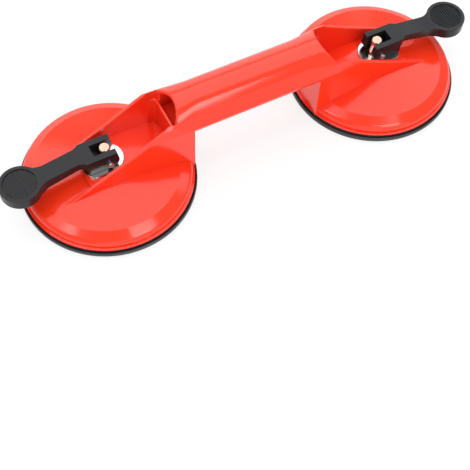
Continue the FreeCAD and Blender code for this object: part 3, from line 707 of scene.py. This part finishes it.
# %% Sweep a profile
def sweep_profile(corners, centre, turns):
    """Sweep a profile that starts and ends on the axis round an upright axis."""
    work = bmesh.new()
    rings = []
    for radius, height in corners:
        if radius == 0:
            rings.append([work.verts.new((centre.x, centre.y, height))] * turns)
            continue
        ring = []
        for turn in range(turns):
            angle = 2 * math.pi * turn / turns
            ring.append(work.verts.new((centre.x + radius * math.cos(angle),
                                        centre.y + radius * math.sin(angle), height)))
        rings.append(ring)
    for lower, upper in zip(rings, rings[1:]):
        for turn in range(turns):
            following = (turn + 1) % turns
            corners_of_face = [lower[turn], lower[following], upper[following], upper[turn]]
            work.faces.new(list(dict.fromkeys(corners_of_face)))
    bmesh.ops.recalc_face_normals(work, faces=work.faces)
    return work


# %% [markdown]
# ### Dimples in the sole
# The rubber is keyed to the steel plate by eight round pegs, and each peg shows under the sole as a
# shallow dimple.  What repeats round an axis follows a rule, so Geometry Nodes make it: each point finds
# its angle within one eighth of the circle, measures its distance from that eighth's dimple and is lifted
# by a smooth bowl.  Two helpers keep the tree readable: one gives it named inputs, the other writes a sum.

# %% Helpers for the dimple tree
def tree_with_inputs(name, numbers):
    """A Geometry Nodes tree with named numbers and a material as inputs."""
    tree = bpy.data.node_groups.new(name, "GeometryNodeTree")
    tree.interface.new_socket("Geometry", in_out="INPUT", socket_type="NodeSocketGeometry")
    for title, start in numbers:
        socket = tree.interface.new_socket(title, in_out="INPUT", socket_type="NodeSocketFloat")
        socket.default_value = start
    tree.interface.new_socket("Material", in_out="INPUT", socket_type="NodeSocketMaterial")
    tree.interface.new_socket("Geometry", in_out="OUTPUT", socket_type="NodeSocketGeometry")
    return tree


def sum_writer(tree):
    """A function that adds one Math node and gives its result."""
    def work_out(operation, *terms):
        node = tree.nodes.new("ShaderNodeMath")
        node.operation = operation
        for place, term in enumerate(terms):
            if isinstance(term, (int, float)):
                node.inputs[place].default_value = term
            else:
                tree.links.new(term, node.inputs[place])
        return node.outputs[0]
    return work_out


DIMPLE_NUMBERS = (("Centre X", 0.0), ("Count", 8.0), ("Ring radius", 0.034), ("Dimple radius", 0.003),
                  ("Depth", 0.0004), ("Top of sole", 0.0015))
print("numbers of the dimple tree:", len(DIMPLE_NUMBERS))

# %% [markdown]
# ### Distance from the nearest dimple
# The sums come first: the angle folded into one share of the circle, then the distance along and aside
# from that share's dimple.

# %% Measure the distance in the tree
def distance_to_dimple(tree, start, spot):
    """The output that holds a point's distance from the nearest dimple."""
    work_out = sum_writer(tree)

    def length(first, second):
        return work_out("SQRT", work_out("ADD", work_out("MULTIPLY", first, first),
                                         work_out("MULTIPLY", second, second)))

    across = work_out("SUBTRACT", spot.outputs["X"], start.outputs["Centre X"])
    angle = work_out("ARCTAN2", spot.outputs["Y"], across)
    share = work_out("DIVIDE", 2 * math.pi, start.outputs["Count"])
    half = work_out("MULTIPLY", share, 0.5)
    turned = work_out("SUBTRACT", work_out("FLOORED_MODULO", work_out("ADD", angle, half), share), half)
    reach = length(across, spot.outputs["Y"])
    along = work_out("SUBTRACT", work_out("MULTIPLY", reach, work_out("COSINE", turned)),
                     start.outputs["Ring radius"])
    aside = work_out("MULTIPLY", reach, work_out("SINE", turned))
    return length(along, aside)


# %% [markdown]
# ### Lifting the dimples
# A smooth step turns the distance into a bowl, points above the sole are left alone, and the tree ends by
# realizing its instances and setting the rubber's material.

# %% The dimple tree
def dimple_tree():
    """The tree that presses the ring of dimples into a sole."""
    tree = tree_with_inputs("sole_dimples", DIMPLE_NUMBERS)
    start = tree.nodes.new("NodeGroupInput")
    end = tree.nodes.new("NodeGroupOutput")
    links = tree.links
    work_out = sum_writer(tree)
    spot = tree.nodes.new("ShaderNodeSeparateXYZ")
    links.new(tree.nodes.new("GeometryNodeInputPosition").outputs[0], spot.inputs[0])
    far = distance_to_dimple(tree, start, spot)
    bowl = tree.nodes.new("ShaderNodeMapRange")
    bowl.interpolation_type = "SMOOTHSTEP"
    bowl.inputs["From Min"].default_value = 0
    bowl.inputs["To Min"].default_value = 1
    bowl.inputs["To Max"].default_value = 0
    links.new(far, bowl.inputs["Value"])
    links.new(start.outputs["Dimple radius"], bowl.inputs["From Max"])
    below = work_out("LESS_THAN", spot.outputs["Z"], start.outputs["Top of sole"])
    lift = tree.nodes.new("ShaderNodeCombineXYZ")
    height = work_out("MULTIPLY", bowl.outputs["Result"], start.outputs["Depth"])
    links.new(work_out("MULTIPLY", height, below), lift.inputs["Z"])
    move = tree.nodes.new("GeometryNodeSetPosition")
    links.new(start.outputs["Geometry"], move.inputs["Geometry"])
    links.new(lift.outputs[0], move.inputs["Offset"])
    solid = tree.nodes.new("GeometryNodeRealizeInstances")
    coat = tree.nodes.new("GeometryNodeSetMaterial")
    links.new(move.outputs[0], solid.inputs[0])
    links.new(solid.outputs[0], coat.inputs["Geometry"])
    links.new(start.outputs["Material"], coat.inputs["Material"])
    links.new(coat.outputs[0], end.inputs["Geometry"])
    return tree


DIMPLES = dimple_tree()
print("tree:", DIMPLES.name, "nodes:", len(DIMPLES.nodes))


# %% [markdown]
# ### Preparing the discs
# The band of the sole where the dimples lie needs small faces, so the profile gets extra rings there.
# A modifier's inputs are set by the sockets' identifiers, because two sockets may share a name.

# %% Prepare the discs
FINE_BAND = (26 * MM, 36 * MM)
FINE_STEPS = 12


def with_fine_rings(corners, low, high, count):
    """Add rings between two radii of the sole."""
    result = []
    for place, (radius, height) in enumerate(corners):
        result.append((radius, height))
        following = corners[place + 1] if place + 1 < len(corners) else None
        if following and place < SOLE_CORNERS and radius < high and following[0] > low:
            for step in range(1, count):
                share = step / count
                result.append((radius + (following[0] - radius) * share,
                               height + (following[1] - height) * share))
    return result


def set_inputs(modifier, tree, values):
    """Set a tree's inputs on its modifier by the sockets' identifiers."""
    for socket in tree.interface.items_tree:
        if socket.in_out == "INPUT" and socket.name in values:
            modifier[socket.identifier] = values[socket.name]


DISC_PROFILE = with_fine_rings(rubber_profile(), *FINE_BAND, FINE_STEPS)
print("corners with fine rings:", len(DISC_PROFILE))

# %% [markdown]
# ### Bending with the stud
# When the lever draws the stud up, the middle of the disc rises with the plate while the rim stays on the
# tile. Its own weights run along a line, and a disc bends round its middle, so they are written again by
# the distance from the cup's axis.

# %% Bend a disc
BEND_EDGE = 0.054


def bend_with_stud(piece, side):
    """Points near the axis follow the stud, points near the rim stay with the housing."""
    centre = CUP[side]
    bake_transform(piece, "housing", f"{side}_pull", (centre.x + BEND_EDGE, 0, 0), (centre.x + PLATE_RADIUS, 0, 0))
    weights = piece.data.attributes["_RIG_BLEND"].data
    for vertex in piece.data.vertices:
        reach = math.hypot(vertex.co.x - centre.x, vertex.co.y)
        share = min(max((BEND_EDGE - reach) / (BEND_EDGE - PLATE_RADIUS), 0.0), 1.0)
        weights[vertex.index].value = share * share * (3 - 2 * share)


print("width of the bend (mm):", round((BEND_EDGE - PLATE_RADIUS) / MM, 1))

# %% [markdown]
# ### Making the discs
# Each disc is swept, dimpled, turned into a plain mesh and shaded.  Only then does it take its node's place
# and its blend.

# %% Make the discs
DISC_TURNS = 288
DISC_ANGLE = 50
DIMPLE_VALUES = {"Count": 8.0, "Ring radius": 30.5 * MM, "Dimple radius": 3.6 * MM, "Depth": 0.55 * MM}
for side in SIDES:
    node = f"{side}_rubber_disc"
    disc = link_mesh(sweep_profile(DISC_PROFILE, CUP[side], DISC_TURNS), f"{side}_suction_rubber")
    dimples = disc.modifiers.new("dimples", "NODES")
    dimples.node_group = DIMPLES
    set_inputs(dimples, DIMPLES, {**DIMPLE_VALUES, "Centre X": CUP[side].x, "Material": RUBBER})
    plain_mesh(disc)
    disc.data.materials.clear()
    disc.data.materials.append(RUBBER)
    smooth(disc, DISC_ANGLE)
    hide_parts(node)
    bend_with_stud(disc, side)
    print(disc.name, "faces:", len(disc.data.polygons))

# %% [markdown]
# ## The studio floor
# A white sweep reads as pure white in a picture while it still carries the object's soft shadow.  The
# floor is a matt white surface.  For rays from the camera, and for rays that a glossy or clear surface
# sends out, most of it is swapped for a plain white glow of strength 1, so the background is white and
# metal mirrors white too, and no extra light falls on the object.

# %% Build the floor
FLOOR_HALF = 4.0
FLOOR_LEVEL = RUBBER_LOW - 0.2 * MM
GLOW_SHARE = 0.75


def studio_floor(half, level):
    """A square floor at a level."""
    mesh = bpy.data.meshes.new("studio_floor")
    corners = [(-half, -half, level), (half, -half, level), (half, half, level), (-half, half, level)]
    mesh.from_pydata(corners, [], [(0, 1, 2, 3)])
    floor = bpy.data.objects.new("studio_floor", mesh)
    SCENE.collection.objects.link(floor)
    return floor


def white_sweep(share):
    """Matt white, with a share of plain white glow for camera, glossy and transmission rays."""
    material, tree, shader = new_finish("white_sweep", 0.9, specular=0.0)
    shader.inputs["Base Color"].default_value = (0.86, 0.86, 0.86, 1)
    glow = tree.nodes.new("ShaderNodeEmission")
    glow.inputs["Strength"].default_value = 1.0
    path = tree.nodes.new("ShaderNodeLightPath")
    seen = path.outputs["Is Camera Ray"]
    for ray in ("Is Glossy Ray", "Is Transmission Ray"):
        either = tree.nodes.new("ShaderNodeMath")
        either.operation = "MAXIMUM"
        tree.links.new(seen, either.inputs[0])
        tree.links.new(path.outputs[ray], either.inputs[1])
        seen = either.outputs[0]
    part = tree.nodes.new("ShaderNodeMath")
    part.operation = "MULTIPLY"
    part.inputs[1].default_value = share
    mix = tree.nodes.new("ShaderNodeMixShader")
    tree.links.new(seen, part.inputs[0])
    tree.links.new(part.outputs[0], mix.inputs[0])
    tree.links.new(shader.outputs[0], mix.inputs[1])
    tree.links.new(glow.outputs[0], mix.inputs[2])
    tree.links.new(mix.outputs[0], tree.nodes["Material Output"].inputs[0])
    return material


floor = studio_floor(FLOOR_HALF, FLOOR_LEVEL)
floor.data.materials.append(white_sweep(GLOW_SHARE))
print("floor level (mm):", round(FLOOR_LEVEL / MM, 2))

# %% [markdown]
# ## Studio light
# Gloss shows the shapes of the lights, so they are chosen for what the red should mirror.  A large soft
# ceiling stands over and behind the object, and an upright white panel closes the back.  A smaller window
# in front draws the streak along the handle, a small one on the left adds highlights there, and a weak
# panel fills the front.  Each is given by its radiance, the brightness that a mirror would show, and the
# lamp's power follows from its area.  The dim world fills the rest and looks white to the camera.

# %% Light the studio
def soft_panel(name, place, aim, size, radiance):
    """A rectangular lamp that shines with a given radiance."""
    lamp = bpy.data.lights.new(name, "AREA")
    lamp.shape = "RECTANGLE"
    lamp.size, lamp.size_y = size
    lamp.energy = math.pi * size[0] * size[1] * radiance
    holder = bpy.data.objects.new(name, lamp)
    SCENE.collection.objects.link(holder)
    holder.location = place
    holder.rotation_euler = (Vector(aim) - Vector(place)).to_track_quat("-Z", "Y").to_euler()


def dim_studio(level):
    """A world that lights everything at a dim level and still looks white to the camera."""
    world = bpy.data.worlds.new("dim_studio")
    world.use_nodes = True
    tree = world.node_tree
    air = tree.nodes["Background"]
    air.inputs["Color"].default_value = (1, 1, 1, 1)
    path = tree.nodes.new("ShaderNodeLightPath")
    strength = tree.nodes.new("ShaderNodeMapRange")
    strength.inputs["To Min"].default_value = level
    tree.links.new(path.outputs["Is Camera Ray"], strength.inputs["Value"])
    tree.links.new(strength.outputs["Result"], air.inputs["Strength"])
    return world


WORLD_LEVEL = 0.5
SCENE.world = dim_studio(WORLD_LEVEL)

# name: place, the point it faces, its two sides, radiance
PANELS = {
    "ceiling": ((0.3, 0.84, 1.4), (0.3, 0.84, 0), (3.6, 2.0), 1.5),
    "back_panel": ((0.1, 2.1, 0.55), (0.1, 0, 0.3), (3.2, 1.1), 1.0),
    "front_window": ((0.22, -1.2, 1.3), (0.22, -1.2, 0), (0.54, 1.2), 5.8),
    "side_window": ((-0.82, -0.02, 1.3), (-0.82, -0.02, 0), (0.5, 0.3), 4.0),
    "front_fill": ((-0.3, -2.2, 0.75), (0, 0, 0.05), (3.0, 1.2), 1.0),
}
for name, (place, aim, size, radiance) in PANELS.items():
    soft_panel(name, place, aim, size, radiance)
print("lamps:", len(bpy.data.lights))

# %% [markdown]
# ## The camera
# The camera looks down on the object from the front left.  Its place comes from a direction given by two
# angles, a small roll, a distance and two shifts across the picture.

# %% Place the camera
AZIMUTH = math.radians(-30.52)
ELEVATION = math.radians(60.433)
ROLL = math.radians(3.657)
DISTANCE = 0.67594
ACROSS_SHIFT = -0.00627
UP_SHIFT = -0.0778
SENSOR_WIDE = 36
PICTURE_WIDE = 470
FOCAL_IN_PICTURE = 956.25

back = Vector((math.sin(AZIMUTH) * math.cos(ELEVATION), -math.cos(AZIMUTH) * math.cos(ELEVATION),
               math.sin(ELEVATION)))
level = Vector((math.cos(AZIMUTH), math.sin(AZIMUTH), 0))
upright = back.cross(level)
across = math.cos(ROLL) * level + math.sin(ROLL) * upright
up = -math.sin(ROLL) * level + math.cos(ROLL) * upright
lens = bpy.data.cameras.new("camera")
lens.sensor_width = SENSOR_WIDE
lens.lens = lens.sensor_width * FOCAL_IN_PICTURE / PICTURE_WIDE
camera = bpy.data.objects.new("camera", lens)
SCENE.collection.objects.link(camera)
place = across * ACROSS_SHIFT + up * UP_SHIFT + back * DISTANCE
camera.matrix_world = Matrix.Translation(place) @ Matrix((across, up, back)).transposed().to_4x4()
SCENE.camera = camera
SCENE.view_settings.view_transform = "Standard"
print("lens (mm):", round(lens.lens, 1))
